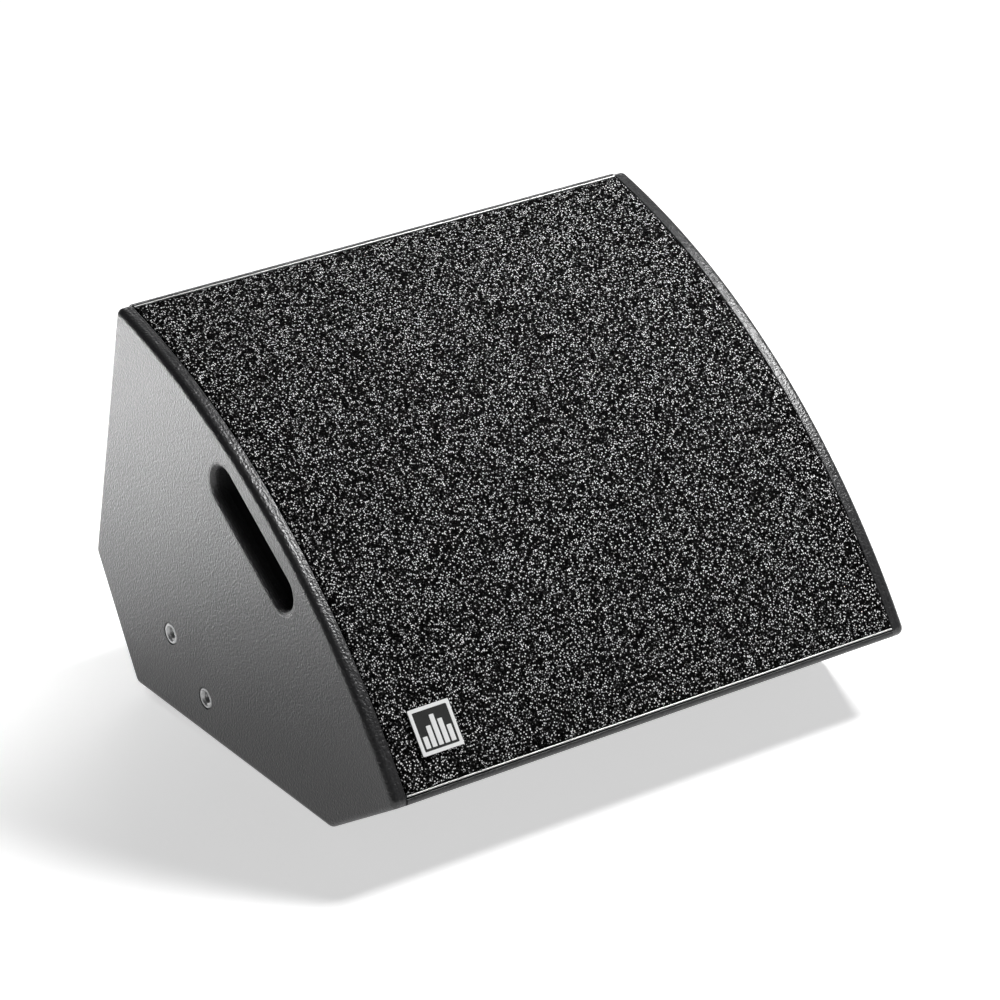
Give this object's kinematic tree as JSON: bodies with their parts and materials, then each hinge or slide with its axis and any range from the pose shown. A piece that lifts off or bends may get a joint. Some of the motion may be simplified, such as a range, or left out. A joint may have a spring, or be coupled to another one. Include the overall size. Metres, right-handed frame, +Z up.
{
  "type": "stage monitor wedge",
  "caption": "Low wedge-shaped loudspeaker cabinet with a curved foam-faced grille, hand slots in both side panels, bracket inserts and a recessed connector plate.",
  "frame": {"origin": "centre of the footprint's bounding box, at the level the rubber feet stand on", "axes": "+X across the width, to the right when facing the grille; +Y from the grille towards the back; +Z up"},
  "size_m": [0.5, 0.448, 0.3467],
  "materials": {
    "cabinet_paint": "hard black textured paint on birch plywood, fine orange-peel",
    "inner_wood": "bare plywood and battens",
    "acoustic_foam": "black open-cell foam with glinting cell walls",
    "black_steel": "satin black powder coat",
    "zinc_steel": "zinc-plated steel",
    "badge_enamel": null,
    "black_plastic": "moulded black plastic, fine grain",
    "rubber": "matt black rubber",
    "cast_frame": "black coated casting",
    "paper_cone": "coated black paper",
    "spider_cloth": "phenolic cloth",
    "copper": "enamelled copper wire",
    "magnet_steel": "plated steel",
    "titanium": "thin formed metal",
    "circuit_board": "green solder mask",
    "capacitor_film": "red film capacitor",
    "wadding": "loose polyester wadding"
  },
  "bodies": {
    "cabinet": {"side_panel_left": "cabinet_paint", "side_panel_right": "cabinet_paint", "rear_panel": "cabinet_paint", "lower_rear_panel": "cabinet_paint", "bottom_panel": "cabinet_paint", "front_lower_panel": "cabinet_paint", "baffle": "inner_wood", "baffle_cleat_upper": "inner_wood", "baffle_cleat_lower": "inner_wood", "grille_foam": "acoustic_foam", "grille": "black_steel", "grille_bar_upper": "black_steel", "grille_bar_lower": "black_steel", "connector_plate": "black_steel", "bracket_insert_left_upper": "zinc_steel", "bracket_insert_left_lower": "zinc_steel", "bracket_insert_right_upper": "zinc_steel", "bracket_insert_right_lower": "zinc_steel", "grille_screw_upper_left": "zinc_steel", "grille_screw_upper_right": "zinc_steel", "grille_screw_lower_left": "zinc_steel", "grille_screw_lower_right": "zinc_steel", "plate_screw_upper_left": "zinc_steel", "plate_screw_upper_right": "zinc_steel", "plate_screw_lower_left": "zinc_steel", "plate_screw_lower_right": "zinc_steel", "driver_bolt_1": "zinc_steel", "driver_bolt_2": "zinc_steel", "driver_bolt_3": "zinc_steel", "driver_bolt_4": "zinc_steel", "badge": "badge_enamel", "hand_slot_cup_left": "black_plastic", "hand_slot_cup_right": "black_plastic", "reflex_port_left": "black_plastic", "reflex_port_right": "black_plastic", "high_frequency_horn": "black_plastic", "compression_driver_cap": "black_plastic", "terminal_block": "black_plastic", "input_socket": "black_plastic", "link_socket": "black_plastic", "driver_gasket": "rubber", "woofer_surround": "rubber", "driver_lead": "rubber", "rubber_foot_front_left": "rubber", "rubber_foot_front_right": "rubber", "rubber_foot_rear_left": "rubber", "rubber_foot_rear_right": "rubber", "driver_basket": "cast_frame", "ring_magnet": "cast_frame", "spider": "spider_cloth", "crossover_inductor": "copper", "top_plate": "magnet_steel", "back_plate": "magnet_steel", "compression_driver_body": "magnet_steel", "crossover_board": "circuit_board", "crossover_capacitor": "capacitor_film", "damping_pad": "wadding"},
    "woofer_moving": {"woofer_cone": "paper_cone", "voice_coil": "copper"},
    "high_frequency_moving": {"high_frequency_diaphragm": "titanium"}
  },
  "joints": [
    {"name": "woofer_excursion", "type": "slide", "parent": "cabinet", "child": "woofer_moving", "axis": [0, -0.5757, 0.8176], "range_m": [-0.006, 0.006], "stiffness_N_per_m": 6000, "deforming": ["woofer_surround", "spider"]},
    {"name": "high_frequency_excursion", "type": "slide", "parent": "cabinet", "child": "high_frequency_moving", "axis": [0, -0.5757, 0.8176], "range_m": [-0.0004, 0.0004], "stiffness_N_per_m": 15000}
  ]
}
